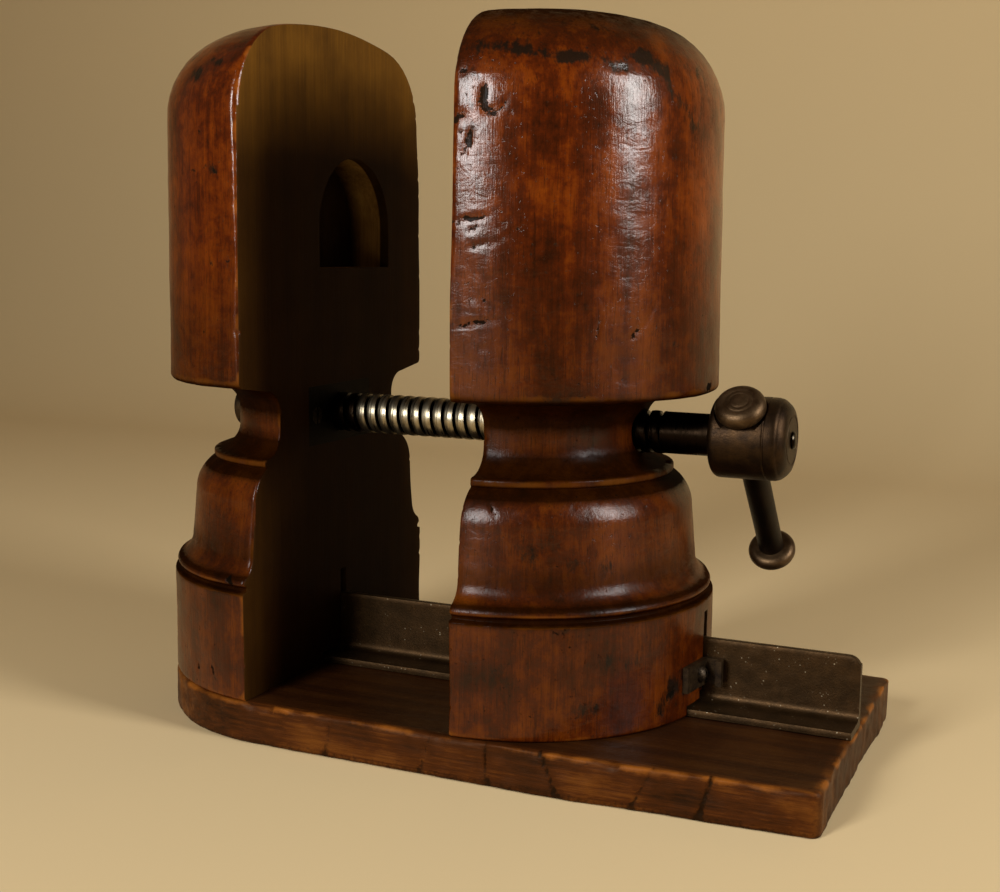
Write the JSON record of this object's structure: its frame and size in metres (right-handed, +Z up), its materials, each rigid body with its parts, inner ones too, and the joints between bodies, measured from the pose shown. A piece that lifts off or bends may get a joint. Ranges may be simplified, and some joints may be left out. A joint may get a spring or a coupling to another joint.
{
  "type": "hat stretcher",
  "caption": "Antique hat stretcher: a turned hardwood block sawn into a fixed and a sliding half on a board, pushed apart along an iron rail by a screw with a tommy bar.",
  "frame": {"origin": "on the underside of the board, below the screw's axis at the sawn face of the fixed half", "axes": "+X along the screw from the fixed half to the tommy bar, +Y to the back, +Z up"},
  "size_m": [0.3085, 0.1572, 0.2959],
  "materials": {
    "turned_wood": "dark polished varnish, worn and dented",
    "board_wood": "worn oil stain with bare edges",
    "rail_iron": "pitted and browned",
    "thread_steel": "bright crests, dark oiled roots",
    "handle_iron": "handled to a brown satin",
    "black_iron": "black, dull",
    "fastener_steel": "darkened"
  },
  "bodies": {
    "frame": {"base_board": "board_wood", "half_screws": "fastener_steel", "guide_rail": "rail_iron", "rail_screws": "fastener_steel", "fixed_half": "turned_wood", "thrust_plate": "black_iron", "thrust_plate_screws": "fastener_steel", "tail_washer": "black_iron"},
    "screw": {"spindle": "thread_steel", "tail_collar": "black_iron", "collar_pin": "fastener_steel", "spindle_boss": "handle_iron"},
    "handle": {"tommy_bar": "handle_iron", "near_knob": "handle_iron", "far_knob": "handle_iron"},
    "slider": {"moving_half": "turned_wood", "spindle_nut": "black_iron", "nut_screws": "fastener_steel", "guide_clip": "black_iron", "clip_screw": "fastener_steel"}
  },
  "joints": [
    {"name": "spindle_turn", "type": "hinge", "parent": "frame", "child": "screw", "pos_m": [0, 0, 0.1295], "axis": [1, 0, 0], "range_deg": [-233, 6166]},
    {"name": "half_slide", "type": "slide", "parent": "frame", "child": "slider", "axis": [1, 0, 0], "range_m": [-0.0925, 0.0035]},
    {"name": "bar_slide", "type": "slide", "parent": "screw", "child": "handle", "axis": [0, -0.6691, 0.7431], "range_m": [0, 0.0535]}
  ],
  "couplings": [
    {"joint": "half_slide", "follows": "spindle_turn", "m_per_rad": -0.00085944}
  ]
}
